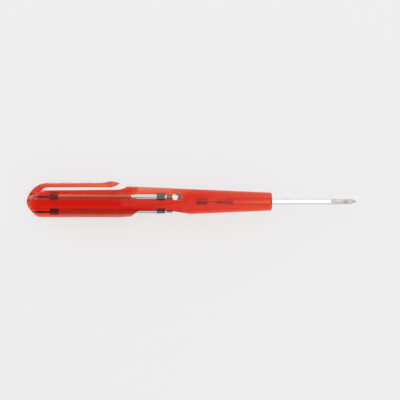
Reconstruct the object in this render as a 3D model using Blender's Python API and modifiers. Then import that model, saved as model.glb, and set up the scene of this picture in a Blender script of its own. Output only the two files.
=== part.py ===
"""Pocket screwdriver with a clear moulded handle, a pocket clip and four double-ended blades.

The tool lies on its side: +X points to the working tip, +Y to the clip and +Z up. Stations along
the tool run on X from the nose face of the handle, which is at 0, back to the domed end.
"""
import math

import bmesh
import bpy
from mathutils import Matrix

MM = 0.001

# Handle moulding
HANDLE_LENGTH = 128.8 * MM
BARREL_RADIUS = 8.24 * MM
DOME_LENGTH = 7.5 * MM
DOME_FULLNESS = 1.7
NOSE_RADIUS = 4.8 * MM
NOSE_EDGE_RADIUS = 1.1 * MM
TAPER_LENGTH = 80.4 * MM

# Pocket clip, moulded with the handle
CLIP_LENGTH = 49.0 * MM
CLIP_WIDTH = 5.0 * MM
CLIP_ROOT_WIDTH = 7.2 * MM
CLIP_THICKNESS = 2.55 * MM
CLIP_STAND = 1.71 * MM
CLIP_ROOT_LENGTH = 11.2 * MM
CLIP_ROOT_FULLNESS = 1.9
CLIP_ROOT_SINK = 0.15 * MM
CLIP_SLOT_START = 8.3 * MM
CLIP_SLOT_LEAD = 3.0 * MM
CLIP_GAP_AT_ROOT = 1.57 * MM
CLIP_GAP_AT_TIP = 1.2 * MM
BEAD_LENGTH = 9.5 * MM
BEAD_HEIGHT = 0.81 * MM
BEAD_WIDTH = 6.2 * MM
BEAD_TIP_DROP = 0.42 * MM
BEAD_UNDERCUT_LENGTH = 5.4 * MM
RAMP_LENGTH = 5.9 * MM
RAMP_OVERLAP = 1.2 * MM
RAMP_RUNOUT = 0.3 * MM

# Double-ended blades
BLADE_LENGTH = 77.5 * MM
SHAFT_DIAMETER = 3.0 * MM
TIP_LENGTH = 8.5 * MM
COLLAR_LENGTH = 4.5 * MM
COLLAR_FLATS = 3.1 * MM
COLLAR_CHAMFER = 0.15 * MM
SLOT_NECK_DIAMETER = 2.2 * MM
SLOT_GRIND_LENGTH = 5.0 * MM
SLOT_EDGE_LENGTH = 2.4 * MM
CROSS_HEAD_LENGTH = 6.4 * MM
CROSS_FLARE_LENGTH = 2.2 * MM
CROSS_POINT_LENGTH = 2.2 * MM
CROSS_POINT_SHARE = 0.3
CROSS_WEB_SHARE = 0.16

# Width and thickness of each blade's slotted end
SLOT_SIZES = {
    "driver_blade": (3.0 * MM, 0.50 * MM),
    "spare_blade_front": (3.5 * MM, 0.60 * MM),
    "spare_blade_rear": (2.5 * MM, 0.40 * MM),
    "spare_blade_lower": (2.0 * MM, 0.35 * MM),
}

# Neck and head diameter of each blade's cross end
CROSS_SIZES = {
    "driver_blade": (2.2 * MM, 2.65 * MM),
    "spare_blade_front": (1.6 * MM, 1.65 * MM),
    "spare_blade_rear": (1.8 * MM, 2.1 * MM),
    "spare_blade_lower": (1.1 * MM, 1.4 * MM),
}

# Blade store: angle of each tunnel about the tool, measured from the clip towards +Z, and how far
# each blade is rolled about itself from lying along its flat
STORE_ANGLES = {
    "spare_blade_front": math.radians(60),
    "spare_blade_rear": math.radians(-60),
    "spare_blade_lower": math.radians(180),
}
STORE_ROLLS = {
    "spare_blade_front": math.radians(-30),
    "spare_blade_rear": math.radians(15),
    "spare_blade_lower": 0.0,
}
STORE_INSET = 3.8 * MM
STORE_END_GAP = 0.5 * MM
TUNNEL_WALL = 1.55 * MM

# Grip flats, and the channels in them that open the tunnels
FLAT_LENGTH = 26.0 * MM
FLAT_LEAD = 1.2 * MM
FLAT_REAR_SLOPE = math.radians(38)
FLAT_FRONT_SLOPE = math.radians(14)
FLAT_BLEND = 1.2 * MM
BLADE_PROUD = 0.48 * MM
CHANNEL_LEAD = 1.9 * MM
CHANNEL_RISE = 0.3 * MM
CHANNEL_MARGIN = 0.4 * MM

# Socket in the nose, with its magnet
SOCKET_DEPTH = 33.8 * MM
MAGNET_DIAMETER = 3.4 * MM
MAGNET_LENGTH = 6.0 * MM
MAGNET_CLEARANCE = 0.15 * MM
MAGNET_CHAMFER = 0.2 * MM
SEAT_GAP = 0.3 * MM
RUNNING_CLEARANCE = 0.2 * MM

# Fineness of round surfaces, and how far a cutter reaches past what it cuts
HANDLE_STEPS = 64
BLADE_STEPS = 24
ARC_STEPS = 8
CUT_MARGIN = 2.0 * MM

# Sizes that follow from those above
HEX_CORNER = 1 / math.cos(math.pi / 6)
SHAFT_RADIUS = SHAFT_DIAMETER / 2
COLLAR_RADIUS = COLLAR_FLATS / 2 * HEX_CORNER
WIDEST_SLOT = max(width for width, thickness in SLOT_SIZES.values())
BLADE_REACH = max(COLLAR_RADIUS, WIDEST_SLOT / 2, SHAFT_RADIUS)
TUNNEL_RADIUS = BLADE_REACH + RUNNING_CLEARANCE
SOCKET_RADIUS = BLADE_REACH + RUNNING_CLEARANCE * HEX_CORNER
MAGNET_RADIUS = MAGNET_DIAMETER / 2
STORE_RADIUS = BARREL_RADIUS - TUNNEL_WALL - TUNNEL_RADIUS
REAR_END = -HANDLE_LENGTH
STORED_SLOT_END = REAR_END + STORE_INSET + BLADE_LENGTH
TUNNEL_END = STORED_SLOT_END + STORE_END_GAP
FLAT_HEIGHT = STORE_RADIUS + SHAFT_RADIUS - BLADE_PROUD
FLAT_FRONT = TUNNEL_END + FLAT_LEAD
FLAT_REAR = FLAT_FRONT - FLAT_LENGTH
CHANNEL_FLOOR = STORE_RADIUS + CHANNEL_RISE
CHANNEL_REAR = FLAT_REAR - CHANNEL_LEAD
CHANNEL_FRONT = TUNNEL_END + CHANNEL_MARGIN
DRIVER_SLOT_END = SEAT_GAP - SOCKET_DEPTH
DRIVER_TIP = DRIVER_SLOT_END + BLADE_LENGTH
CLIP_TOP = BARREL_RADIUS + CLIP_STAND
CLIP_UNDERSIDE = CLIP_TOP - CLIP_THICKNESS
CLIP_PEAK = CLIP_TOP + BEAD_HEIGHT
CLIP_TIP = REAR_END + CLIP_LENGTH
CLIP_TIP_HEIGHT = CLIP_TOP - BEAD_TIP_DROP
CLIP_SLOT_REAR = REAR_END + CLIP_SLOT_START
CLIP_ROOT_FRONT = CLIP_SLOT_REAR + CLIP_SLOT_LEAD
RECESS_AT_ROOT = CLIP_UNDERSIDE - CLIP_GAP_AT_ROOT
RECESS_AT_TIP = CLIP_UNDERSIDE - CLIP_GAP_AT_TIP
RAMP_REAR = CLIP_TIP - RAMP_OVERLAP
RAMP_FRONT = RAMP_REAR + RAMP_LENGTH
OUTSIDE = CLIP_PEAK + CUT_MARGIN

TURN_Z_TO_X = Matrix.Rotation(math.pi / 2, 4, 'Y')
TURN_Y_TO_Z = Matrix.Rotation(math.pi / 2, 4, 'X')


def new_collection(name):
    collection = bpy.data.collections.new(name)
    bpy.context.scene.collection.children.link(collection)
    return collection


def place(obj, collection, parent):
    for old in list(obj.users_collection):
        old.objects.unlink(obj)
    collection.objects.link(obj)
    obj.parent = parent
    return obj


def as_cutter(obj, parent):
    """Keep a shape that only cuts, trims or is joined to another out of the model itself."""
    place(obj, bpy.data.collections["cutters"], parent)
    obj.hide_render = True
    obj.display_type = 'WIRE'
    return obj


def finish(obj, colour, roughness, metallic=0.0, transmission=0.0):
    """Give a piece its own material."""
    mat = bpy.data.materials.new(obj.name)
    mat.use_nodes = True
    shader = mat.node_tree.nodes["Principled BSDF"]
    shader.inputs["Base Color"].default_value = (*colour, 1.0)
    shader.inputs["Roughness"].default_value = roughness
    shader.inputs["Metallic"].default_value = metallic
    shader.inputs["Transmission Weight"].default_value = transmission
    obj.data.materials.append(mat)


def mesh_object(name, mesh):
    obj = bpy.data.objects.new(name, mesh)
    bpy.context.scene.collection.objects.link(obj)
    return obj


def turned(name, profile, steps):
    """A profile of (station, radius) points from rear to front, turned about the X axis."""
    mesh = bpy.data.meshes.new(name)
    # From front to rear the faces look outwards
    points = [(x, radius, 0.0) for x, radius in reversed(profile)]
    mesh.from_pydata(points, [(i, i + 1) for i in range(len(points) - 1)], [])
    obj = mesh_object(name, mesh)
    screw = obj.modifiers.new("turn", 'SCREW')
    screw.axis = 'X'
    screw.steps = steps
    screw.render_steps = steps
    screw.use_merge_vertices = True
    screw.merge_threshold = 1e-6
    return obj


def prism(name, outline, half_depth):
    """A closed outline in the XY plane, extruded both ways along Z, as a welded mesh."""
    curve = bpy.data.curves.new(name, 'CURVE')
    curve.dimensions = '2D'
    curve.fill_mode = 'BOTH'
    curve.extrude = half_depth
    spline = curve.splines.new('POLY')
    spline.points.add(len(outline) - 1)
    for point, (x, y) in zip(spline.points, outline):
        point.co = (x, y, 0.0, 1.0)
    spline.use_cyclic_u = True
    drawn = mesh_object(name, curve)
    graph = bpy.context.evaluated_depsgraph_get()
    mesh = bpy.data.meshes.new_from_object(drawn.evaluated_get(graph))
    bpy.data.objects.remove(drawn)
    work = bmesh.new()
    work.from_mesh(mesh)
    bmesh.ops.remove_doubles(work, verts=work.verts, dist=1e-6)
    bmesh.ops.recalc_face_normals(work, faces=work.faces)
    work.to_mesh(mesh)
    work.free()
    return mesh_object(name, mesh)


def rod(name, rear, front, radius, sides, roll=0.0):
    """A straight bar along X between two stations, with a corner towards +Y before it is rolled."""
    bpy.ops.mesh.primitive_cylinder_add(vertices=sides, radius=radius, depth=front - rear)
    obj = bpy.context.object
    obj.name = name
    middle = Matrix.Translation(((rear + front) / 2, 0.0, 0.0))
    obj.data.transform(middle @ Matrix.Rotation(roll, 4, 'X') @ TURN_Z_TO_X)
    return obj


def boolean(target, operand, operation):
    cut = target.modifiers.new(operand.name, 'BOOLEAN')
    cut.operation = operation
    cut.object = operand


def bevel(obj, width, segments=1, angle=70):
    """Chamfer, or round in several segments, the edges that turn by more than an angle in degrees."""
    edges = obj.modifiers.new("edges", 'BEVEL')
    edges.width = width
    edges.segments = segments
    edges.limit_method = 'ANGLE'
    edges.angle_limit = math.radians(angle)


def steps_to(end):
    return [end * i / ARC_STEPS for i in range(ARC_STEPS + 1)]


def arc(x, y, radius_x, radius_y, start, end):
    """Points on part of an ellipse, from one angle to another in degrees."""
    angles = [math.radians(start + step) for step in steps_to(end - start)]
    return [(x + radius_x * math.cos(a), y + radius_y * math.sin(a)) for a in angles]


def dome(rear, length, height, fullness):
    """A rounded end as a superellipse, from the axis out to its full height."""
    power = 2 / fullness
    return [(rear + length * (1 - math.cos(a) ** power), height * math.sin(a) ** power)
            for a in steps_to(math.pi / 2)]


def ease(rear, front, start, end):
    """An S-shaped change of height between two stations."""
    return [(rear + (front - rear) * t, start + (end - start) * t * t * (3 - 2 * t))
            for t in steps_to(1.0)]


def bow(rear, front, start, end, reach=1.0):
    """A parabola that leaves its first station level, drawn on past the second by its reach."""
    return [(rear + (front - rear) * t, start + (end - start) * t * t) for t in steps_to(reach)]


def mirrored(half):
    """A closed outline from its upper half, which runs from rear to front."""
    return half + [(x, -y) for x, y in reversed(half)]


def clip(axis):
    """The clip, turned over the dome and barrel, trimmed to its width and cut free underneath."""
    past_tip = 1.2
    bead_rear = CLIP_TIP - BEAD_LENGTH
    bead_middle = CLIP_TIP - BEAD_LENGTH / 2
    outer = dome(REAR_END + CLIP_ROOT_SINK, CLIP_ROOT_LENGTH, CLIP_TOP, CLIP_ROOT_FULLNESS)
    outer += ease(bead_rear, bead_middle, CLIP_TOP, CLIP_PEAK)[:-1]
    outer += bow(bead_middle, CLIP_TIP, CLIP_PEAK, CLIP_TIP_HEIGHT, past_tip)
    outer.append((outer[-1][0], 0.0))
    strap = as_cutter(turned("clip_strap", outer, HANDLE_STEPS), axis)

    bead_reach = BEAD_LENGTH / 2 + CLIP_ROOT_SINK
    spread = math.degrees(math.asin(CLIP_WIDTH / BEAD_WIDTH))
    plan = [(REAR_END - CUT_MARGIN, CLIP_ROOT_WIDTH / 2), (CLIP_ROOT_FRONT, CLIP_ROOT_WIDTH / 2)]
    plan += arc(bead_middle, 0.0, bead_reach, BEAD_WIDTH / 2, 180 - spread, 0)[:-1]
    tip = [(bead_middle + bead_reach, 0.0)]
    foot = BARREL_RADIUS / 4
    width = prism("clip_width", plan + tip + mirrored(plan)[len(plan):], (OUTSIDE - foot) / 2)
    width.data.transform(Matrix.Translation((0.0, (OUTSIDE + foot) / 2, 0.0)) @ TURN_Y_TO_Z)
    boolean(strap, as_cutter(width, axis), 'INTERSECT')

    slot_lead = CLIP_SLOT_LEAD + CLIP_ROOT_SINK
    under = [(CLIP_ROOT_FRONT - slot_lead, -OUTSIDE)]
    under += arc(CLIP_ROOT_FRONT, RECESS_AT_ROOT, slot_lead, CLIP_GAP_AT_ROOT, 180, 90)
    under += bow(CLIP_TIP - BEAD_UNDERCUT_LENGTH, CLIP_TIP, CLIP_UNDERSIDE, CLIP_TIP_HEIGHT, past_tip)
    under += [(CLIP_TIP + BEAD_LENGTH, under[-1][1]), (CLIP_TIP + BEAD_LENGTH, -OUTSIDE)]
    boolean(strap, as_cutter(prism("clip_underside", under, OUTSIDE), axis), 'DIFFERENCE')
    return strap


def clip_recess(axis):
    """The hollow in the barrel under the clip, with its ramp up to the grip."""
    floor = [(CLIP_ROOT_FRONT, OUTSIDE)]
    floor += arc(CLIP_ROOT_FRONT, RECESS_AT_ROOT, CLIP_SLOT_LEAD, CLIP_GAP_AT_ROOT, 90, 180)
    floor += bow(RAMP_REAR, RAMP_FRONT, RECESS_AT_TIP, BARREL_RADIUS + RAMP_RUNOUT)
    floor.append((RAMP_FRONT, OUTSIDE))
    return as_cutter(prism("clip_recess", floor, OUTSIDE), axis)


def grip_flat(name, angle, axis):
    """A flat across the grip over one tunnel, with a slope at each end."""
    rise = OUTSIDE - FLAT_HEIGHT
    outline = [
        (FLAT_REAR - rise / math.tan(FLAT_REAR_SLOPE), OUTSIDE),
        (FLAT_REAR, FLAT_HEIGHT),
        (FLAT_FRONT, FLAT_HEIGHT),
        (FLAT_FRONT + rise / math.tan(FLAT_FRONT_SLOPE), OUTSIDE),
    ]
    cutter = as_cutter(prism("flat_over_" + name, outline, OUTSIDE), axis)
    bevel(cutter, FLAT_BLEND, 3, 10)
    cutter.rotation_euler.x = angle
    return cutter


def channel(name, angle, axis):
    """A slot with straight sides, in which one stored blade lies open in its flat."""
    outline = [
        (CHANNEL_REAR, CHANNEL_FLOOR),
        (CHANNEL_FRONT, CHANNEL_FLOOR),
        (CHANNEL_FRONT, OUTSIDE),
        (CHANNEL_REAR, OUTSIDE),
    ]
    cutter = as_cutter(prism("channel_of_" + name, outline, TUNNEL_RADIUS + CHANNEL_MARGIN), axis)
    cutter.rotation_euler.x = angle
    return cutter


def tunnel(name, angle, axis):
    """A round hole from the dome to the stop at its front end, where one blade is stored."""
    cutter = rod("tunnel_of_" + name, REAR_END - CUT_MARGIN, TUNNEL_END, TUNNEL_RADIUS, BLADE_STEPS)
    cutter.location = (0.0, STORE_RADIUS * math.cos(angle), STORE_RADIUS * math.sin(angle))
    return as_cutter(cutter, axis)


def handle(axis, parts):
    outline = dome(REAR_END, DOME_LENGTH, BARREL_RADIUS, DOME_FULLNESS)
    outline.append((-TAPER_LENGTH, BARREL_RADIUS))
    outline += arc(-NOSE_EDGE_RADIUS, NOSE_RADIUS - NOSE_EDGE_RADIUS,
                   NOSE_EDGE_RADIUS, NOSE_EDGE_RADIUS, 90, 0)
    outline.append((0.0, 0.0))
    body = place(turned("handle", outline, HANDLE_STEPS), parts, axis)
    boolean(body, clip_recess(axis), 'DIFFERENCE')
    boolean(body, clip(axis), 'UNION')
    for name, angle in STORE_ANGLES.items():
        for cutter in (grip_flat, channel, tunnel):
            boolean(body, cutter(name, angle, axis), 'DIFFERENCE')
    socket = rod("socket", -SOCKET_DEPTH, CUT_MARGIN, SOCKET_RADIUS, 6, math.pi / 6)
    boolean(body, as_cutter(socket, axis), 'DIFFERENCE')
    seat_bottom = -SOCKET_DEPTH - MAGNET_LENGTH - SEAT_GAP
    seat = rod("magnet_seat", seat_bottom, SEAT_GAP - SOCKET_DEPTH,
               MAGNET_RADIUS + MAGNET_CLEARANCE, BLADE_STEPS)
    boolean(body, as_cutter(seat, axis), 'DIFFERENCE')
    finish(body, (0.72, 0.03, 0.02), 0.08, transmission=0.9)


def socket_magnet(axis, parts):
    magnet = rod("socket_magnet", -MAGNET_LENGTH, 0.0, MAGNET_RADIUS, BLADE_STEPS)
    place(magnet, parts, axis)
    magnet.location.x = -SOCKET_DEPTH
    bevel(magnet, MAGNET_CHAMFER)
    finish(magnet, (0.05, 0.05, 0.055), 0.4, metallic=1.0)


def collar(name, rear, blade):
    """A hexagon collar whose corners are turned off at both ends."""
    front = rear + COLLAR_LENGTH
    hexagon = as_cutter(rod(name, rear, front, COLLAR_RADIUS, 6, math.pi / 6), blade)
    narrow = COLLAR_RADIUS - 3 * COLLAR_CHAMFER
    wide = COLLAR_RADIUS + COLLAR_CHAMFER
    outline = [
        (rear - COLLAR_CHAMFER, 0.0),
        (rear - COLLAR_CHAMFER, narrow),
        (rear + COLLAR_CHAMFER, wide),
        (front - COLLAR_CHAMFER, wide),
        (front + COLLAR_CHAMFER, narrow),
        (front + COLLAR_CHAMFER, 0.0),
    ]
    boolean(hexagon, as_cutter(turned(name + "_ends", outline, BLADE_STEPS), blade), 'INTERSECT')
    return hexagon


def slotted_end(name, blade):
    """A flared wedge, ground hollow on both faces, its edge along the blade's own Z."""
    width, thickness = SLOT_SIZES[name]
    root = SLOT_NECK_DIAMETER / 3
    end = SLOT_GRIND_LENGTH + SLOT_EDGE_LENGTH / 2
    grind = [(-CUT_MARGIN, thickness / 2)] + bow(0.0, end + CUT_MARGIN, thickness / 2, root)
    wedge = as_cutter(prism(name + "_grind", mirrored(grind), WIDEST_SLOT), blade)
    flare = [(0.0, width / 2)] + ease(SLOT_EDGE_LENGTH, end, width / 2, root)
    plan = prism(name + "_flare", mirrored(flare), SLOT_NECK_DIAMETER)
    plan.data.transform(TURN_Y_TO_Z)
    boolean(wedge, as_cutter(plan, blade), 'INTERSECT')
    return wedge


def cross_flutes(name, blade):
    """The four flutes of the cross end, deepest at the point."""
    neck, head = CROSS_SIZES[name]
    bar = head / 2
    web = head * CROSS_WEB_SHARE
    tilt = Matrix.Rotation(-math.atan2(head - web, 2 * CROSS_HEAD_LENGTH), 4, 'Z')
    at_point = Matrix.Translation((BLADE_LENGTH, web / 2 + bar, 0.0))
    flutes = []
    for turn in (45, 135, 225, 315):
        flute = rod(f"{name}_flute_{turn}", -CROSS_HEAD_LENGTH, CUT_MARGIN, bar, 4)
        flute.data.transform(Matrix.Rotation(math.radians(turn), 4, 'X') @ at_point @ tilt)
        flutes.append(as_cutter(flute, blade))
    return flutes


def double_ended_blade(name, axis, parts):
    """One steel blade along its own X, its slotted end at 0 and its cross end at full length."""
    neck, head = CROSS_SIZES[name]
    cross = BLADE_LENGTH - TIP_LENGTH
    flare = BLADE_LENGTH - CROSS_HEAD_LENGTH
    profile = [
        (SLOT_EDGE_LENGTH, 0.0),
        (SLOT_GRIND_LENGTH, SLOT_NECK_DIAMETER / 2),
        (TIP_LENGTH + COLLAR_CHAMFER, SLOT_NECK_DIAMETER / 2),
        (TIP_LENGTH + COLLAR_CHAMFER, SHAFT_RADIUS),
        (cross - COLLAR_CHAMFER, SHAFT_RADIUS),
        (cross - COLLAR_CHAMFER, neck / 2),
    ]
    profile += ease(flare, flare + CROSS_FLARE_LENGTH, neck / 2, head / 2)
    profile += [
        (BLADE_LENGTH - CROSS_POINT_LENGTH, head / 2),
        (BLADE_LENGTH, head * CROSS_POINT_SHARE / 2),
        (BLADE_LENGTH, 0.0),
    ]
    blade = place(turned(name, profile, BLADE_STEPS), parts, axis)
    for end, rear in (("slot", TIP_LENGTH), ("cross", cross - COLLAR_LENGTH)):
        boolean(blade, collar(f"{name}_{end}_collar", rear, blade), 'UNION')
    boolean(blade, slotted_end(name, blade), 'UNION')
    for flute in cross_flutes(name, blade):
        boolean(blade, flute, 'DIFFERENCE')
    finish(blade, (0.62, 0.6, 0.6), 0.22, metallic=1.0)
    return blade


def driver_blade(axis, parts):
    """The working blade, its slotted end on the magnet."""
    blade = double_ended_blade("driver_blade", axis, parts)
    blade.location.x = DRIVER_SLOT_END


def stored_blade(name, axis, parts):
    """A spare blade, turned end for end so that its cross end lies in the dome."""
    angle = STORE_ANGLES[name]
    blade = double_ended_blade(name, axis, parts)
    blade.location = (STORED_SLOT_END, STORE_RADIUS * math.cos(angle), STORE_RADIUS * math.sin(angle))
    blade.rotation_euler = (STORE_ROLLS[name] - angle, 0.0, math.pi)


def main():
    for obj in list(bpy.data.objects):
        bpy.data.objects.remove(obj)
    parts = new_collection("pocket_screwdriver")
    new_collection("cutters")
    axis = bpy.data.objects.new("tool_axis", None)
    axis.location = (-(REAR_END + DRIVER_TIP) / 2, (BARREL_RADIUS - CLIP_PEAK) / 2, BARREL_RADIUS)
    parts.objects.link(axis)
    handle(axis, parts)
    socket_magnet(axis, parts)
    driver_blade(axis, parts)
    for name in STORE_ANGLES:
        stored_blade(name, axis, parts)


main()
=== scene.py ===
"""Looks of a pocket screwdriver: a clear red handle with a clip, four double-ended blades and a magnet.

Each piece is modelled about the X axis, with the nose face of the handle at 0, +X towards the working
tip and +Y towards the clip, and is then moved to its place in the frame.
"""
import math

import bpy
from bpy.props import FloatProperty, FloatVectorProperty, PointerProperty
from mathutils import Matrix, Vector


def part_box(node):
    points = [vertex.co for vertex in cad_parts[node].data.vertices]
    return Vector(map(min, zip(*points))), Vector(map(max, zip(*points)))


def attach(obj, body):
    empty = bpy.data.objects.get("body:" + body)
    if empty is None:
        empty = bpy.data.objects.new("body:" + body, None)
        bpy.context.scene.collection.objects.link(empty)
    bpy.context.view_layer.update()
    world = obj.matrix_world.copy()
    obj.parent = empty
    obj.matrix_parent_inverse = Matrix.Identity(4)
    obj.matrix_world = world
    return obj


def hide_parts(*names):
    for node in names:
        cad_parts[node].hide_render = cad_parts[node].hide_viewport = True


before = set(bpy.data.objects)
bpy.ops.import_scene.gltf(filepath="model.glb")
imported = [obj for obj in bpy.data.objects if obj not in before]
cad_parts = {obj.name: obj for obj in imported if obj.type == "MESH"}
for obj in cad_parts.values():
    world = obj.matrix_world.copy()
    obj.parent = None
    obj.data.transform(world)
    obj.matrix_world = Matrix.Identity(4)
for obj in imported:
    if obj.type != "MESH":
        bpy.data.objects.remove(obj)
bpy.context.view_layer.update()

bl_info = {
    "name": "Pocket Screwdriver",
    "version": (1, 0, 0),
    "blender": (4, 5, 0),
    "location": "View3D > Sidebar > Screwdriver",
    "description": "Models and dresses a pocket screwdriver with stored blades",
    "category": "Add Mesh",
}

MM = 0.001

# The frame gives the axis of the tool, the ends of the handle and the place of each blade
HANDLE_LOW, HANDLE_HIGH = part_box("handle")
BARREL_RADIUS = (HANDLE_HIGH.z - HANDLE_LOW.z) / 2
NOSE_CENTRE = Vector((HANDLE_HIGH.x, HANDLE_LOW.y + BARREL_RADIUS, HANDLE_LOW.z + BARREL_RADIUS))
HANDLE_LENGTH = HANDLE_HIGH.x - HANDLE_LOW.x
BLADE_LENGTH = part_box("driver_blade")[1].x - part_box("driver_blade")[0].x
DRIVER_SLOT_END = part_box("driver_blade")[0].x - NOSE_CENTRE.x
STORED_SLOT_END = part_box("spare_blade_front")[1].x - NOSE_CENTRE.x
STORE_RADIUS = NOSE_CENTRE.y - sum((corner.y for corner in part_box("spare_blade_lower"))) / 2
MAGNET_LOW, MAGNET_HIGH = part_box("socket_magnet")
MAGNET_RADIUS = (MAGNET_HIGH.z - MAGNET_LOW.z) / 2

# Angle of each stored blade about the tool, measured from the clip towards +Z, and its roll about itself
STORE_ANGLES = {
    "spare_blade_front": math.radians(60),
    "spare_blade_rear": math.radians(-60),
    "spare_blade_lower": math.radians(180),
}
STORE_ROLLS = {
    "spare_blade_front": math.radians(-30),
    "spare_blade_rear": math.radians(15),
    "spare_blade_lower": 0.0,
}

# Width and thickness of each blade's slotted end
SLOT_SIZES = {
    "driver_blade": (3.0 * MM, 0.50 * MM),
    "spare_blade_front": (3.5 * MM, 0.60 * MM),
    "spare_blade_rear": (2.5 * MM, 0.40 * MM),
    "spare_blade_lower": (2.0 * MM, 0.35 * MM),
}

# Neck and head diameter of each blade's cross end
CROSS_SIZES = {
    "driver_blade": (2.2 * MM, 2.65 * MM),
    "spare_blade_front": (1.6 * MM, 1.65 * MM),
    "spare_blade_rear": (1.8 * MM, 2.1 * MM),
    "spare_blade_lower": (1.1 * MM, 1.4 * MM),
}

# Name, place, what it faces, width and height, and brightness of each softbox
SOFTBOXES = (
    ("key_light", (0.05, 0.54, 0.59), (0.05, 0.0, 0.0), (1.3, 1.23), 0.65),
    ("low_light", (0.0, 0.9, 0.11), (0.0, 0.0, 0.0), (2.0, 0.16), 0.8),
    ("rim_light", (-0.21, 0.7, 0.14), (-0.21, 0.0, 0.0), (0.19, 0.26), 5.0),
    ("end_light", (-0.6, 0.35, 0.25), (-0.07, 0.0, 0.0), (0.5, 0.5), 4.0),
    ("fill_light", (0.05, -0.63, 0.49), (0.05, 0.0, 0.0), (1.3, 0.5), 0.4),
    ("tip_light", (0.305, -0.12, 1.0), (0.305, -0.12, 0.0), (0.59, 0.95), 1.2),
    ("tip_fill", (0.3, -0.383, 0.321), (0.3, 0.0, 0.0), (0.58, 0.58), 1.0),
    ("tip_key", (0.34, 0.383, 0.321), (0.34, 0.0, 0.0), (0.58, 0.58), 0.8),
)

# The point on the floor that the camera looks down on
VIEW_CENTRE = (4.6 * MM, -0.45 * MM)

HEX_CORNER = 1 / math.cos(math.pi / 6)

# Fineness of round surfaces
HANDLE_STEPS = 144
BLADE_STEPS = 64
ARC_STEPS = 12
EDGE_STEPS = 4
RING_STEP = 2.0 * MM

# Angles in degrees above which an edge counts as sharp, for rounding and for shading
SHARP_EDGE = 40
SMOOTH_ANGLE = 30

# How far cutters reach, how far they run past what they cut, and how near points are merged
REACH = 14.0 * MM
CUT_MARGIN = 2.0 * MM
WELD = 0.001 * MM

# How far a curve that ends at the clip's tip is drawn on, as a multiple of its length
PAST_TIP = 1.2


def length(name, description, default):
    """A size in metres."""
    return FloatProperty(name=name, description=description, default=default,
                         min=0.0, precision=5, unit='LENGTH')


def slope(name, description, default):
    """An angle, with its default in degrees."""
    return FloatProperty(name=name, description=description, default=math.radians(default), subtype='ANGLE')


def share(name, description, default):
    """A plain number that isn't negative."""
    return FloatProperty(name=name, description=description, default=default, min=0.0)


def colour(name, description, default):
    return FloatVectorProperty(name=name, description=description, default=default,
                               size=3, min=0.0, max=1.0, subtype='COLOR')


class HandleSettings(bpy.types.PropertyGroup):
    """Sizes and colours of the handle moulding."""
    dome_length: length("Dome length", "Length of the rounded end", 7.5 * MM)
    dome_fullness: share("Dome fullness", "Exponent of the dome's outline", 1.7)
    nose_radius: length("Nose radius", "Radius of the handle at its nose", 4.8 * MM)
    nose_edge: length("Nose edge", "Rounding of the nose face", 1.1 * MM)
    taper_length: length("Taper length", "Length of the tapered grip", 80.4 * MM)
    tunnel_radius: length("Tunnel radius", "Radius of the holes for stored blades", 1.99 * MM)
    tunnel_gap: length("Tunnel gap", "Room between a stored blade and the end of its hole", 0.5 * MM)
    flat_height: length("Flat height", "Distance of the grip flats from the axis", 4.85 * MM)
    flat_length: length("Flat length", "Length of the grip flats", 17.1 * MM)
    flat_setback: length("Flat setback", "How far a flat ends behind the end of its tunnel", 6.0 * MM)
    flat_rear_slope: slope("Rear slope", "Slope of a flat's rear end", 38)
    flat_front_slope: slope("Front slope", "Slope of a flat's front end", 9.5)
    flat_blend: length("Flat blend", "Rounding between a flat and its slopes", 1.2 * MM)
    channel_length: length("Channel length", "Length of a channel, back from its tunnel's end", 26.7 * MM)
    channel_rise: length("Channel rise", "Height of a channel's floor over its tunnel's axis", 0.3 * MM)
    channel_margin: length("Channel margin", "How much a channel is wider than its tunnel", 0.4 * MM)
    socket_depth: length("Socket depth", "Depth of the hexagon socket in the nose", 33.8 * MM)
    socket_radius: length("Socket radius", "Corner radius of the hexagon socket", 2.02 * MM)
    seat_gap: length("Seat gap", "Room round the magnet's ends", 0.3 * MM)
    seat_clearance: length("Seat clearance", "Room round the magnet's side", 0.15 * MM)
    plastic: colour("Plastic", "Tint of the clear plastic's skin", (0.97, 0.60, 0.50))
    plastic_depth: colour("Plastic depth", "Colour of light inside the plastic", (0.967, 0.256, 0.0))
    plastic_density: share("Plastic density", "How strongly the plastic absorbs light, per metre", 336.0)
    plastic_ior: share("Plastic IOR", "How strongly the plastic bends what is seen through it", 1.18)
    plastic_gloss: share("Plastic gloss", "Strength of the shine on the plastic", 0.15)


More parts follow.
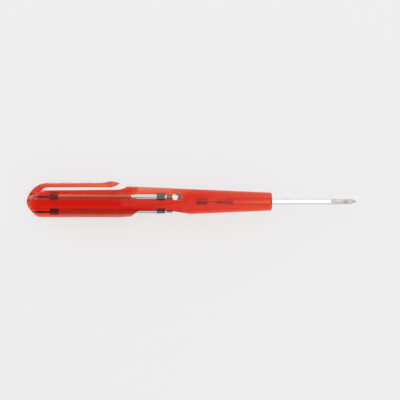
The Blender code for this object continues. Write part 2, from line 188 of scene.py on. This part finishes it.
class ClipSettings(bpy.types.PropertyGroup):
    """Sizes of the pocket clip, which is moulded with the handle."""
    span: length("Length", "Length of the clip from the end of the dome", 49.0 * MM)
    width: length("Width", "Width of the clip", 5.0 * MM)
    root_width: length("Root width", "Width of the clip at its root", 7.2 * MM)
    thickness: length("Thickness", "Thickness of the clip", 2.55 * MM)
    stand: length("Stand", "How far the clip stands off the barrel's side", 1.71 * MM)
    edge: length("Edge", "Rounding of the clip's edges", 0.45 * MM)
    root_length: length("Root length", "Length of the curve at the clip's root", 11.2 * MM)
    root_fullness: share("Root fullness", "Exponent of the root's outline", 1.9)
    root_sink: length("Root sink", "How far the root lies inside the dome", 0.15 * MM)
    slot_start: length("Slot start", "Where the gap under the clip starts", 8.3 * MM)
    slot_lead: length("Slot lead", "Length of the curve at the rear of the gap", 3.0 * MM)
    gap_at_root: length("Gap at root", "Gap under the clip at its root", 1.57 * MM)
    gap_at_tip: length("Gap at tip", "Gap under the clip at its tip", 1.2 * MM)
    bead_length: length("Bead length", "Length of the bead at the clip's tip", 9.5 * MM)
    bead_height: length("Bead height", "Height of the bead", 0.81 * MM)
    bead_width: length("Bead width", "Width of the bead", 6.2 * MM)
    bead_drop: length("Bead drop", "Fall from the clip's top to its tip", 0.42 * MM)
    bead_undercut: length("Bead undercut", "Length of the rise under the tip", 5.4 * MM)
    ramp_length: length("Ramp length", "Length of the ramp in front of the clip", 5.9 * MM)
    ramp_overlap: length("Ramp overlap", "How far the ramp lies under the tip", 1.2 * MM)
    ramp_runout: length("Ramp runout", "How far the ramp runs past the barrel", 0.3 * MM)


class BladeSettings(bpy.types.PropertyGroup):
    """Sizes and colours of the double-ended blades and of the magnet that holds one."""
    shaft_diameter: length("Shaft diameter", "Diameter of the round shaft", 3.0 * MM)
    tip_length: length("Tip length", "Length of a blade end past its collar", 8.5 * MM)
    collar_length: length("Collar length", "Length of a hexagon collar", 4.5 * MM)
    collar_flats: length("Collar flats", "Size of a collar across its flats", 3.1 * MM)
    collar_chamfer: length("Collar chamfer", "Chamfer on a collar's corners", 0.15 * MM)
    slot_neck: length("Slot neck", "Diameter of the neck of the slotted end", 2.2 * MM)
    slot_grind: length("Slot grind", "Length ground on the slotted end", 5.0 * MM)
    slot_edge: length("Slot edge", "Length of the full width of the slotted end", 2.4 * MM)
    cross_length: length("Cross length", "Length of the cross end", 6.4 * MM)
    cross_flare: length("Cross flare", "Length of the flare behind the cross end", 2.2 * MM)
    cross_point: length("Cross point", "Length of the cone at the point", 2.2 * MM)
    cross_flat: share("Cross flat", "Width of the flat on the point, as a share of the head", 0.3)
    cross_web: share("Cross web", "Thickness left between the flutes, as a share of the head", 0.16)
    magnet_edge: length("Magnet edge", "Rounding of the magnet's edges", 0.2 * MM)
    shaft: colour("Shaft", "Colour of the polished shaft", (0.66, 0.65, 0.65))
    # Painted shade: the ends of a stored blade are darkened for the shade inside the handle
    shaded_ends: colour("Shaded end steel", "Colour of the ends of a stored blade", (0.14, 0.125, 0.12))
    # Painted highlight on the ground faces of a stored blade's slotted end
    ground: colour("Ground face highlight", "Colour of the faces ground on a slotted end", (0.62, 0.59, 0.57))
    # Lit copy of the stored blades' end steel, painted lighter for the blade in use out in the light
    lit_ends: colour("Lit end steel", "Colour of the ends of the blade in use", (0.46, 0.44, 0.43))
    magnet: colour("Magnet", "Colour of the magnet", (0.30, 0.27, 0.26))


class StageSettings(bpy.types.PropertyGroup):
    """The floor, the lights and the camera."""
    floor: colour("Floor", "Colour of the pale floor", (0.855, 0.855, 0.855))
    floor_size: length("Floor size", "Side of the floor", 4.0)
    glow: share("Floor glow", "Share of the floor's colour that needs no light", 0.85)
    glow_colour: colour("Glow colour", "Colour of the floor's own glow", (0.826, 0.826, 0.826))
    sky: share("Sky", "Strength of the even light from all round", 0.35)
    view_width: length("View width", "Width of the picture at the tool", 210.0 * MM)
    focal_length: share("Focal length", "Focal length of the camera in millimetres", 250.0)


def select_only(obj):
    bpy.ops.object.select_all(action='DESELECT')
    obj.select_set(True)
    bpy.context.view_layer.objects.active = obj


def edit(obj):
    """Open a piece for editing with all of it selected."""
    select_only(obj)
    bpy.ops.object.mode_set(mode='EDIT')
    bpy.ops.mesh.select_all(action='SELECT')


def close():
    """Merge what touches, turn the faces outwards and leave edit mode."""
    bpy.ops.mesh.select_all(action='SELECT')
    bpy.ops.mesh.remove_doubles(threshold=WELD)
    bpy.ops.mesh.normals_make_consistent(inside=False)
    bpy.ops.object.mode_set(mode='OBJECT')


def draw(name, points):
    """Extrude a line through the points, starting from a plane drawn together to one corner."""
    bpy.ops.object.select_all(action='DESELECT')
    bpy.ops.mesh.primitive_plane_add(size=MM)
    obj = bpy.context.object
    obj.name = name
    edit(obj)
    bpy.ops.mesh.merge(type='CENTER')
    bpy.ops.transform.translate(value=points[0])
    for start, end in zip(points, points[1:]):
        bpy.ops.mesh.extrude_vertices_move(TRANSFORM_OT_translate={"value": end - start})
    bpy.ops.mesh.select_all(action='SELECT')
    return obj


def turned(name, profile, steps):
    """Spin a profile of (station, radius) points round the X axis."""
    obj = draw(name, [Vector((x, radius, 0.0)) for x, radius in profile])
    bpy.ops.mesh.spin(steps=steps, angle=2 * math.pi, center=(0.0, 0.0, 0.0), axis=(1.0, 0.0, 0.0))
    close()
    return obj


def prism(name, outline, half_depth):
    """Fill a closed outline in the XY plane and extrude it along Z."""
    points = [Vector((x, y, -half_depth)) for x, y in outline]
    obj = draw(name, points + points[:1])
    bpy.ops.mesh.remove_doubles(threshold=WELD)
    bpy.ops.mesh.edge_face_add()
    bpy.ops.mesh.extrude_region_move(TRANSFORM_OT_translate={"value": (0.0, 0.0, 2 * half_depth)})
    close()
    return obj


def rod(name, rear, front, radius, sides, roll=0.0):
    """A bar along X between two stations, with a corner towards +Y before it is rolled."""
    bpy.ops.object.select_all(action='DESELECT')
    bpy.ops.mesh.primitive_cylinder_add(vertices=sides, radius=radius, depth=front - rear)
    obj = bpy.context.object
    obj.name = name
    obj.rotation_euler = (0.0, math.pi / 2, 0.0)
    settle(obj)
    obj.rotation_euler.x = roll
    obj.location.x = (rear + front) / 2
    settle(obj)
    return obj


def settle(obj):
    """Put a piece's place and turn into its mesh."""
    select_only(obj)
    bpy.ops.object.transform_apply(location=True, rotation=True, scale=True)


def apply(obj, modifier):
    select_only(obj)
    bpy.ops.object.modifier_apply(modifier=modifier.name)


def combine(target, tool, operation):
    """Cut, trim or join a piece with another, which is used up."""
    boolean = target.modifiers.new("combine", 'BOOLEAN')
    boolean.operation = operation
    boolean.object = tool
    apply(target, boolean)
    bpy.data.objects.remove(tool)
    edit(target)
    close()


def round_edges(obj, width, angle):
    """Round the edges where faces meet at more than an angle in degrees."""
    bevel = obj.modifiers.new("round", 'BEVEL')
    bevel.width = width
    bevel.segments = EDGE_STEPS
    bevel.limit_method = 'ANGLE'
    bevel.angle_limit = math.radians(angle)
    apply(obj, bevel)


def round_long_edges(obj, width, rear, front):
    """Round the edges that run along X between two stations."""
    edit(obj)
    bpy.ops.mesh.select_mode(type='EDGE')
    bpy.ops.mesh.select_all(action='DESELECT')
    bpy.ops.mesh.edges_select_sharp(sharpness=math.radians(SHARP_EDGE))
    bpy.ops.object.mode_set(mode='OBJECT')
    mesh = obj.data
    sharp = [edge.index for edge in mesh.edges if edge.select]
    edit(obj)
    bpy.ops.mesh.select_all(action='DESELECT')
    bpy.ops.object.mode_set(mode='OBJECT')
    for edge in (mesh.edges[i] for i in sharp):
        ends = [mesh.vertices[i].co.x for i in edge.vertices]
        edge.select = min(ends) > rear and max(ends) < front
    bpy.ops.object.mode_set(mode='EDIT')
    bpy.ops.mesh.bevel(offset=width, segments=EDGE_STEPS, affect='EDGES')
    bpy.ops.mesh.select_mode(type='VERT')
    close()


def smooth(obj):
    select_only(obj)
    bpy.ops.object.shade_smooth_by_angle(angle=math.radians(SMOOTH_ANGLE))


def steps_to(end, count=ARC_STEPS):
    return [end * i / count for i in range(count + 1)]


def arc(x, y, radius_x, radius_y, start, end):
    """Points on part of an ellipse, from one angle to another in degrees."""
    angles = [math.radians(start + step) for step in steps_to(end - start)]
    return [(x + radius_x * math.cos(a), y + radius_y * math.sin(a)) for a in angles]


def dome(rear, depth, height, fullness):
    """A rounded end as a superellipse, from the axis out to its full height."""
    power = 2 / fullness
    return [(rear + depth * (1 - math.cos(a) ** power), height * math.sin(a) ** power)
            for a in steps_to(math.pi / 2, 2 * ARC_STEPS)]


def straight(start, end):
    """A straight stretch of a profile, with a ring every few millimetres."""
    span = Vector(end) - Vector(start)
    count = max(1, round(span.length / RING_STEP))
    return [tuple(Vector(start) + span * t) for t in steps_to(1.0, count)]


def ease(rear, front, start, end):
    """An S-shaped change of height between two stations."""
    return [(rear + (front - rear) * t, start + (end - start) * t * t * (3 - 2 * t)) for t in steps_to(1.0)]


def bow(rear, front, start, end, reach=1.0):
    """A parabola that leaves its first station level, drawn on past the second by its reach."""
    return [(rear + (front - rear) * t, start + (end - start) * t * t) for t in steps_to(reach)]


def mirrored(half):
    """A closed outline from its upper half, which runs from rear to front."""
    return half + [(x, -y) for x, y in reversed(half)]


class Value:
    """A shader socket that takes part in sums, each of which adds a Math node."""

    def __init__(self, finish, socket):
        self.finish = finish
        self.socket = socket

    def math(self, operation, first, second):
        return self.finish.node("Math", {"operation": operation}, {0: first, 1: second})

    def __add__(self, other):
        return self.math('ADD', self, other)

    def __radd__(self, other):
        return self.math('ADD', other, self)

    def __sub__(self, other):
        return self.math('SUBTRACT', self, other)

    def __rsub__(self, other):
        return self.math('SUBTRACT', other, self)

    def __mul__(self, other):
        return self.math('MULTIPLY', self, other)

    def __rmul__(self, other):
        return self.math('MULTIPLY', other, self)


class Finish:
    """A material that is written as expressions on its nodes."""

    def __init__(self, name):
        self.material = bpy.data.materials.new(name)
        self.material.use_nodes = True
        self.tree = self.material.node_tree
        self.shader = self.tree.nodes["Principled BSDF"]
        self.output = self.tree.nodes["Material Output"]

    def connect(self, socket, value):
        if isinstance(value, Value):
            self.tree.links.new(value.socket, socket)
        else:
            socket.default_value = value

    def node(self, kind, settings, inputs, output=0):
        """Add a node, set its settings, fill its sockets and hand back one of its outputs."""
        node = self.tree.nodes.new("ShaderNode" + kind)
        for key, value in settings.items():
            setattr(node, key, value)
        for key, value in inputs.items():
            self.connect(node.inputs[key], value)
        return Value(self, node.outputs[output])

    def set(self, inputs):
        """Fill the shader's own sockets."""
        for key, value in inputs.items():
            self.connect(self.shader.inputs[key], value)

    def place(self, scale=(1.0, 1.0, 1.0)):
        """The piece's own coordinates, stretched by a scale."""
        here = self.node("TexCoord", {}, {}, "Object")
        return self.node("Mapping", {}, {"Vector": here, "Scale": scale})

    def noise(self, scale, stretch=(1.0, 1.0, 1.0), detail=3.0):
        return self.node("TexNoise", {}, {"Vector": self.place(stretch), "Scale": scale,
                                          "Detail": detail, "Roughness": 0.55}, "Fac")

    def between(self, value, low, high):
        """A mask that rises from 0 to 1 as a value goes from low to high."""
        return self.node("MapRange", {"interpolation_type": 'SMOOTHSTEP'},
                         {"Value": value, "From Min": low, "From Max": high})

    def blend(self, mask, first, second):
        """A mix of two colours, which are sockets 6 and 7 of a Mix node."""
        return self.node("Mix", {"data_type": 'RGBA'}, {0: mask, 6: (*first, 1.0), 7: (*second, 1.0)}, 2)

    def bump(self, height, depth):
        """Turn a height field into a normal; depth is its size in metres."""
        self.set({"Normal": self.node("Bump", {}, {"Height": height, "Distance": depth, "Strength": 1.0})})


def shade(tint, amount):
    return tuple(channel * amount for channel in tint)


def clear_plastic(settings):
    """Clear tinted plastic with flow marks, fine scuffs and a polished skin, which lets light through."""
    finish = Finish("clear_red_plastic")
    tint = tuple(settings.plastic)
    flow = finish.noise(60.0, (0.35, 1.0, 1.0), 2.0)
    handling = finish.between(finish.noise(140.0, detail=4.0), 0.52, 0.72)
    scuffs = finish.between(finish.noise(900.0, (0.08, 1.0, 1.0), 2.0), 0.62, 0.70)
    finish.set({"Base Color": finish.blend(flow, shade(tint, 0.97), tint),
                "Roughness": 0.03 + 0.05 * handling + 0.05 * scuffs,
                "Transmission Weight": 1.0, "IOR": settings.plastic_ior,
                "Coat Weight": settings.plastic_gloss})
    finish.bump(finish.noise(160.0, (0.3, 1.0, 1.0), 1.0), 0.0015 * MM)

    # Light on its way to the floor goes through two skins, which share the tint
    shadow = finish.node("LightPath", {}, {}, "Is Shadow Ray")
    through = finish.node("BsdfTransparent", {}, {"Color": (*(math.sqrt(c) for c in tint), 1.0)})
    surface = Value(finish, finish.shader.outputs[0])
    mixed = finish.node("MixShader", {}, {0: shadow, 1: surface, 2: through})
    finish.tree.links.new(mixed.socket, finish.output.inputs["Surface"])
    absorb = finish.node("VolumeAbsorption", {}, {"Color": (*settings.plastic_depth, 1.0),
                                                  "Density": settings.plastic_density})
    finish.tree.links.new(absorb.socket, finish.output.inputs["Volume"])
    return finish.material


def polished_steel(settings):
    """Bright plated steel with fine lines drawn along the shaft."""
    finish = Finish("polished_steel")
    tint = tuple(settings.shaft)
    lines = finish.noise(2600.0, (0.01, 1.0, 1.0), 2.0)
    haze = finish.noise(180.0, (0.4, 1.0, 1.0))
    finish.set({"Base Color": finish.blend(haze, shade(tint, 0.92), tint), "Metallic": 1.0,
                "Roughness": 0.10 + 0.08 * haze + 0.05 * lines})
    finish.bump(lines, 0.002 * MM)
    return finish.material


def steel_wear(finish):
    """Marks across a blade's end, and patches where it was handled."""
    marks = finish.noise(1800.0, (1.0, 0.12, 0.12), 2.0)
    patches = finish.between(finish.noise(500.0, detail=4.0), 0.35, 0.65)
    return marks, patches


def shaded_end_steel(settings):
    """Ends of a stored blade, painted dark as shade inside the handle, with painted highlights on the
    ground faces of the slotted end and in a ring in front of the collar.
    """
    finish = Finish("shaded_end_steel")
    tint = tuple(settings.shaded_ends)
    marks, patches = steel_wear(finish)
    here = finish.place()
    edge = NOSE_CENTRE.x + STORED_SLOT_END
    from_edge = edge - finish.node("SeparateXYZ", {}, {"Vector": here}, "X")

    # A painted highlight on the ground faces starts at a skewed line past the dark, shaded edge and ends
    # where the neck begins
    dark_edge, highlight_line = 1.9 * MM, 2.7 * MM
    skew = (finish.noise(420.0, detail=0.0) - 0.5) * 5 * MM
    highlight_start = finish.between(from_edge + skew, dark_edge, highlight_line)
    highlight_end = finish.between(from_edge, settings.slot_grind, settings.slot_grind - 0.5 * MM)

    # A painted highlight ring on the neck, just in front of the collar, stands in for light caught by the
    # collar's chamfer
    ring = settings.tip_length - 0.3 * MM
    bright, faded = 0.3 * MM, 0.4 * MM
    ring_start = finish.between(from_edge, ring - faded, ring - bright)
    ring_end = finish.between(from_edge, ring + faded, ring + bright)
    ground = highlight_start * highlight_end
    highlight_ring = ring_start * ring_end
    # The dark base is painted shade; the ground faces and the ring are painted highlights on it
    finish.set({"Base Color": finish.blend(ground + highlight_ring, tint, settings.ground), "Metallic": 1.0,
                "Roughness": 0.24 + 0.08 * patches + 0.10 * marks})
    finish.bump(marks, 0.006 * MM)
    return finish.material


def lit_end_steel(settings):
    """Ends of the blade in use, painted lighter than a stored blade's ends because they lie out in the
    light, with marks from grinding.
    """
    finish = Finish("lit_end_steel")
    tint = tuple(settings.lit_ends)
    marks, patches = steel_wear(finish)
    finish.set({"Base Color": finish.blend(patches, shade(tint, 0.85), tint), "Metallic": 1.0,
                "Roughness": 0.28 + 0.14 * marks})
    finish.bump(marks, 0.006 * MM)
    return finish.material


def magnet_black(settings):
    """Dark sintered magnet with a fine grain."""
    finish = Finish("magnet_black")
    tint = tuple(settings.magnet)
    grain = finish.noise(2500.0, detail=5.0)
    finish.set({"Base Color": finish.blend(grain, shade(tint, 0.7), shade(tint, 1.3)), "Metallic": 0.7,
                "Roughness": 0.35 + 0.2 * grain})
    finish.bump(grain, 0.01 * MM)
    return finish.material


def floor_paint(settings):
    """A pale matt floor, which shows its own colour to the camera and still takes a shadow."""
    finish = Finish("pale_floor")
    tint = tuple(settings.floor)
    mottle = finish.noise(14.0)
    finish.set({"Base Color": finish.blend(mottle, shade(tint, 0.98), tint), "Roughness": 0.8})
    direct = finish.node("LightPath", {}, {}, "Is Camera Ray")
    through = finish.node("LightPath", {}, {}, "Is Transmission Ray")
    glow = finish.node("Emission", {}, {"Color": (*settings.glow_colour, 1.0)})
    lit = Value(finish, finish.shader.outputs[0])
    mixed = finish.node("MixShader", {}, {0: (direct + through) * settings.glow, 1: lit, 2: glow})
    finish.tree.links.new(mixed.socket, finish.output.inputs["Surface"])
    return finish.material


def dress(obj, body, node, slot, *materials):
    """Put a finished piece in its place in the frame, in the stead of its solid."""
    obj.location = NOSE_CENTRE
    settle(obj)
    smooth(obj)
    obj.data.materials.clear()
    for material in materials:
        obj.data.materials.append(material)
    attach(obj, body)
    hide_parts(node)


def barrel(handle):
    """The turned outline of the handle, from the dome to the nose face."""
    rear = -HANDLE_LENGTH
    edge = handle.nose_edge
    outline = dome(rear, handle.dome_length, BARREL_RADIUS, handle.dome_fullness)
    outline += straight(outline[-1], (-handle.taper_length, BARREL_RADIUS))[1:]
    outline += straight(outline[-1], (-edge, handle.nose_radius))[1:]
    outline += arc(-edge, handle.nose_radius - edge, edge, edge, 90, 0)[1:]
    outline.append((0.0, 0.0))
    return turned("handle_moulding", outline, HANDLE_STEPS)


def clip_recess(clip):
    """The hollow in the barrel under the clip, with its ramp up to the grip."""
    underside = BARREL_RADIUS + clip.stand - clip.thickness
    root = clip.slot_start + clip.slot_lead - HANDLE_LENGTH
    ramp = clip.span - HANDLE_LENGTH - clip.ramp_overlap
    ramp_end = ramp + clip.ramp_length
    floor = [(root, REACH)]
    floor += arc(root, underside - clip.gap_at_root, clip.slot_lead, clip.gap_at_root, 90, 180)
    floor += bow(ramp, ramp_end, underside - clip.gap_at_tip, BARREL_RADIUS + clip.ramp_runout)
    floor.append((ramp_end, REACH))
    return prism("clip_recess", floor, REACH)


def clip_strap(clip):
    """The clip, turned over the dome and barrel, trimmed to its width and cut free underneath."""
    rear = -HANDLE_LENGTH
    top = BARREL_RADIUS + clip.stand
    underside = top - clip.thickness
    tip = rear + clip.span
    tip_height = top - clip.bead_drop
    bead_rear = tip - clip.bead_length
    bead_middle = tip - clip.bead_length / 2
    outer = dome(rear + clip.root_sink, clip.root_length, top, clip.root_fullness)
    outer += straight(outer[-1], (bead_rear, top))[1:-1]
    outer += ease(bead_rear, bead_middle, top, top + clip.bead_height)[:-1]
    outer += bow(bead_middle, tip, top + clip.bead_height, tip_height, PAST_TIP)
    outer.append((outer[-1][0], 0.0))
    strap = turned("clip_strap", outer, HANDLE_STEPS)

    reach = clip.bead_length / 2 + clip.root_sink
    spread = math.degrees(math.asin(clip.width / clip.bead_width))
    root = rear + clip.slot_start + clip.slot_lead
    plan = [(rear - CUT_MARGIN, clip.root_width / 2), (root, clip.root_width / 2)]
    plan += arc(bead_middle, 0.0, reach, clip.bead_width / 2, 180 - spread, 0)[:-1]
    plan += [(bead_middle + reach, 0.0)] + mirrored(plan)[len(plan):]
    foot = BARREL_RADIUS / 4
    width = prism("clip_width", plan, (REACH - foot) / 2)
    width.rotation_euler.x = math.pi / 2
    width.location.y = (REACH + foot) / 2
    combine(strap, width, 'INTERSECT')

    lead = clip.slot_lead + clip.root_sink
    under = [(root - lead, -REACH)]
    under += arc(root, underside - clip.gap_at_root, lead, clip.gap_at_root, 180, 90)
    under += bow(tip - clip.bead_undercut, tip, underside, tip_height, PAST_TIP)
    under += [(tip + clip.bead_length, under[-1][1]), (tip + clip.bead_length, -REACH)]
    combine(strap, prism("clip_underside", under, REACH), 'DIFFERENCE')
    round_long_edges(strap, clip.edge, root, bead_rear)
    return strap


def store_place(x, angle):
    """A point at one station on the axis of a stored blade."""
    return Vector((x, STORE_RADIUS * math.cos(angle), STORE_RADIUS * math.sin(angle)))


def grip_flat(handle, angle, front):
    """A flat across the grip over one tunnel, with a slope at each end."""
    rise = REACH - handle.flat_height
    rear = front - handle.flat_length
    outline = [
        (rear - rise / math.tan(handle.flat_rear_slope), REACH),
        (rear, handle.flat_height),
        (front, handle.flat_height),
        (front + rise / math.tan(handle.flat_front_slope), REACH),
    ]
    flat = prism("grip_flat", outline, REACH)
    round_edges(flat, handle.flat_blend, math.degrees(handle.flat_front_slope) / 2)
    flat.rotation_euler.x = angle
    settle(flat)
    return flat


def channel(handle, angle, rear, front):
    """A slot with straight sides, which opens one tunnel through the slopes of its flat."""
    floor = STORE_RADIUS + handle.channel_rise
    outline = [(rear, floor), (front, floor), (front, REACH), (rear, REACH)]
    slot = prism("channel", outline, handle.tunnel_radius + handle.channel_margin)
    slot.rotation_euler.x = angle
    settle(slot)
    return slot


class SCREWDRIVER_OT_handle(bpy.types.Operator):
    """Model the clear handle moulding with its clip, flats, tunnels and socket"""
    bl_idname = "screwdriver.handle"
    bl_label = "Handle"

    def execute(self, context):
        handle = context.scene.screwdriver_handle
        clip = context.scene.screwdriver_clip
        moulding = barrel(handle)
        combine(moulding, clip_recess(clip), 'DIFFERENCE')
        combine(moulding, clip_strap(clip), 'UNION')
        tunnel_rear = -HANDLE_LENGTH - CUT_MARGIN
        tunnel_end = STORED_SLOT_END + handle.tunnel_gap
        flat_front = tunnel_end - handle.flat_setback
        channel_rear = tunnel_end - handle.channel_length
        channel_front = tunnel_end + handle.channel_margin
        for angle in STORE_ANGLES.values():
            combine(moulding, grip_flat(handle, angle, flat_front), 'DIFFERENCE')
            combine(moulding, channel(handle, angle, channel_rear, channel_front), 'DIFFERENCE')
            tunnel = rod("tunnel", tunnel_rear, tunnel_end, handle.tunnel_radius, BLADE_STEPS)
            tunnel.location = store_place(0.0, angle)
            combine(moulding, tunnel, 'DIFFERENCE')
        socket = rod("socket", -handle.socket_depth, CUT_MARGIN, handle.socket_radius, 6, math.pi / 6)
        combine(moulding, socket, 'DIFFERENCE')
        seat_rear = MAGNET_LOW.x - NOSE_CENTRE.x - handle.seat_gap
        seat = rod("magnet_seat", seat_rear, handle.seat_gap - handle.socket_depth,
                   MAGNET_RADIUS + handle.seat_clearance, BLADE_STEPS)
        combine(moulding, seat, 'DIFFERENCE')
        dress(moulding, "handle", "handle", "clear_red_plastic", clear_plastic(handle))
        return {'FINISHED'}


class SCREWDRIVER_OT_magnet(bpy.types.Operator):
    """Model the magnet at the bottom of the socket"""
    bl_idname = "screwdriver.magnet"
    bl_label = "Magnet"

    def execute(self, context):
        blades = context.scene.screwdriver_blades
        rear = MAGNET_LOW.x - NOSE_CENTRE.x
        front = MAGNET_HIGH.x - NOSE_CENTRE.x
        magnet = rod("magnet_slug", rear, front, MAGNET_RADIUS, BLADE_STEPS)
        round_edges(magnet, blades.magnet_edge, SHARP_EDGE)
        dress(magnet, "handle", "socket_magnet", "magnet", magnet_black(blades))
        return {'FINISHED'}


def slotted_end(blades, width, thickness):
    """A flared wedge, ground hollow on both faces, its edge along Z."""
    root = blades.slot_neck / 3
    end = blades.slot_grind + blades.slot_edge / 2
    grind = [(-CUT_MARGIN, thickness / 2)] + bow(0.0, end + CUT_MARGIN, thickness / 2, root)
    wedge = prism("slot_grind", mirrored(grind), width)
    flare = [(0.0, width / 2)] + ease(blades.slot_edge, end, width / 2, root)
    plan = prism("slot_flare", mirrored(flare), blades.slot_neck)
    plan.rotation_euler.x = math.pi / 2
    combine(wedge, plan, 'INTERSECT')
    return wedge


def cross_flute(blades, head, turn):
    """One of the four flutes of a cross end, deepest at the point."""
    bar = head / 2
    web = head * blades.cross_web
    flute = rod("cross_flute", -blades.cross_length, CUT_MARGIN, bar, 4)
    flute.rotation_euler.z = -math.atan2(head - web, 2 * blades.cross_length)
    settle(flute)
    flute.location = (BLADE_LENGTH, web / 2 + bar, 0.0)
    settle(flute)
    flute.rotation_euler.x = math.radians(turn)
    settle(flute)
    return flute


def collar(blades, rear):
    """A hexagon collar whose corners are turned off at both ends."""
    radius = blades.collar_flats / 2 * HEX_CORNER
    front = rear + blades.collar_length
    hexagon = rod("collar", rear, front, radius, 6, math.pi / 6)
    chamfer = blades.collar_chamfer
    outline = [(rear, 0.0), (rear, radius - chamfer), (rear + chamfer, radius + chamfer),
               (front - chamfer, radius + chamfer), (front, radius - chamfer), (front, 0.0)]
    combine(hexagon, turned("collar_ends", outline, BLADE_STEPS), 'INTERSECT')
    return hexagon


def blade(blades, name):
    """A double-ended blade along X, its slotted end at 0 and its cross end at full length."""
    shaft = blades.shaft_diameter / 2
    chamfer = blades.collar_chamfer
    neck, head = CROSS_SIZES[name]
    cross = BLADE_LENGTH - blades.tip_length
    flare = BLADE_LENGTH - blades.cross_length
    profile = [
        (blades.slot_edge, 0.0),
        (blades.slot_grind, blades.slot_neck / 2),
        (blades.tip_length + chamfer, blades.slot_neck / 2),
        (blades.tip_length + chamfer, shaft),
        (cross - chamfer, shaft),
        (cross - chamfer, neck / 2),
    ]
    profile += ease(flare, flare + blades.cross_flare, neck / 2, head / 2)
    profile += [
        (BLADE_LENGTH - blades.cross_point, head / 2),
        (BLADE_LENGTH, head * blades.cross_flat / 2),
        (BLADE_LENGTH, 0.0),
    ]
    made = turned(name + "_steel", profile, BLADE_STEPS)
    for rear in (blades.tip_length, cross - blades.collar_length):
        combine(made, collar(blades, rear), 'UNION')
    combine(made, slotted_end(blades, *SLOT_SIZES[name]), 'UNION')
    for turn in (45, 135, 225, 315):
        combine(made, cross_flute(blades, head, turn), 'DIFFERENCE')
    return made


def finish_of_faces(made, blades):
    """Which finish each face of a blade takes: 0 on its shaft, 1 on its collars and tips."""
    low = blades.tip_length + blades.collar_length
    return [0 if low < face.center.x < BLADE_LENGTH - low else 1 for face in made.data.polygons]


class SCREWDRIVER_OT_blades(bpy.types.Operator):
    """Model the working blade and the three stored blades"""
    bl_idname = "screwdriver.blades"
    bl_label = "Blades"

    def execute(self, context):
        blades = context.scene.screwdriver_blades
        shafts = polished_steel(blades)
        # Stored blades take the shaded copy of the end steel, the blade in use the lit copy
        stored, used = shaded_end_steel(blades), lit_end_steel(blades)
        for name in SLOT_SIZES:
            made = blade(blades, name)
            indices = finish_of_faces(made, blades)
            ends = used
            made.location.x = DRIVER_SLOT_END
            if name in STORE_ANGLES:
                ends = stored
                angle = STORE_ANGLES[name]
                made.rotation_euler = (STORE_ROLLS[name] - angle, 0.0, math.pi)
                made.location = store_place(STORED_SLOT_END, angle)
            settle(made)
            dress(made, name, name, "blade_steel", shafts, ends)
            for face, index in zip(made.data.polygons, indices):
                face.material_index = index
        return {'FINISHED'}


class SCREWDRIVER_OT_stage(bpy.types.Operator):
    """Set up the floor, the lights and the camera"""
    bl_idname = "screwdriver.stage"
    bl_label = "Stage"

    def execute(self, context):
        stage = context.scene.screwdriver_stage
        scene = context.scene
        scene.view_settings.view_transform = 'Standard'
        bpy.ops.object.select_all(action='DESELECT')
        bpy.ops.mesh.primitive_plane_add(size=stage.floor_size)
        floor = context.object
        floor.name = "floor"
        floor.data.materials.append(floor_paint(stage))

        world = bpy.data.worlds.new("sky")
        scene.world = world
        world.use_nodes = True
        world.node_tree.nodes["Background"].inputs["Strength"].default_value = stage.sky
        world.node_tree.nodes["Background"].inputs["Color"].default_value = (1.0, 1.0, 1.0, 1.0)

        for name, place, target, size, radiance in SOFTBOXES:
            bpy.ops.object.light_add(type='AREA', location=place)
            lamp = context.object
            lamp.name = name
            lamp.data.shape = 'RECTANGLE'
            lamp.data.size, lamp.data.size_y = size
            lamp.data.energy = radiance * math.pi * size[0] * size[1]
            lamp.visible_camera = False
            lamp.rotation_euler = (Vector(target) - lamp.location).to_track_quat('-Z', 'Y').to_euler()

        bpy.ops.object.camera_add(location=(*VIEW_CENTRE, 0.0))
        camera = context.object
        camera.data.lens = stage.focal_length
        distance = stage.view_width * camera.data.lens / camera.data.sensor_width
        camera.location.z = BARREL_RADIUS + distance
        scene.camera = camera
        return {'FINISHED'}


STEPS = (SCREWDRIVER_OT_handle, SCREWDRIVER_OT_magnet, SCREWDRIVER_OT_blades, SCREWDRIVER_OT_stage)


class SCREWDRIVER_PT_panel(bpy.types.Panel):
    """Lists the settings and the steps"""
    bl_label = "Pocket Screwdriver"
    bl_idname = "SCREWDRIVER_PT_panel"
    bl_space_type = 'VIEW_3D'
    bl_region_type = 'UI'
    bl_category = "Screwdriver"

    def draw(self, context):
        for step in STEPS:
            self.layout.operator(step.bl_idname)
        for group, owner in GROUPS.items():
            box = self.layout.box()
            for name in owner.__annotations__:
                box.prop(getattr(context.scene, group), name)


GROUPS = {
    "screwdriver_handle": HandleSettings,
    "screwdriver_clip": ClipSettings,
    "screwdriver_blades": BladeSettings,
    "screwdriver_stage": StageSettings,
}
CLASSES = (*GROUPS.values(), *STEPS, SCREWDRIVER_PT_panel)


def register():
    for cls in CLASSES:
        bpy.utils.register_class(cls)
    for group, owner in GROUPS.items():
        setattr(bpy.types.Scene, group, PointerProperty(type=owner))


def unregister():
    for group in GROUPS:
        delattr(bpy.types.Scene, group)
    for cls in reversed(CLASSES):
        bpy.utils.unregister_class(cls)


def main():
    register()
    bpy.ops.screwdriver.handle()
    bpy.ops.screwdriver.magnet()
    bpy.ops.screwdriver.blades()
    bpy.ops.screwdriver.stage()


if __name__ == "__main__":
    main()
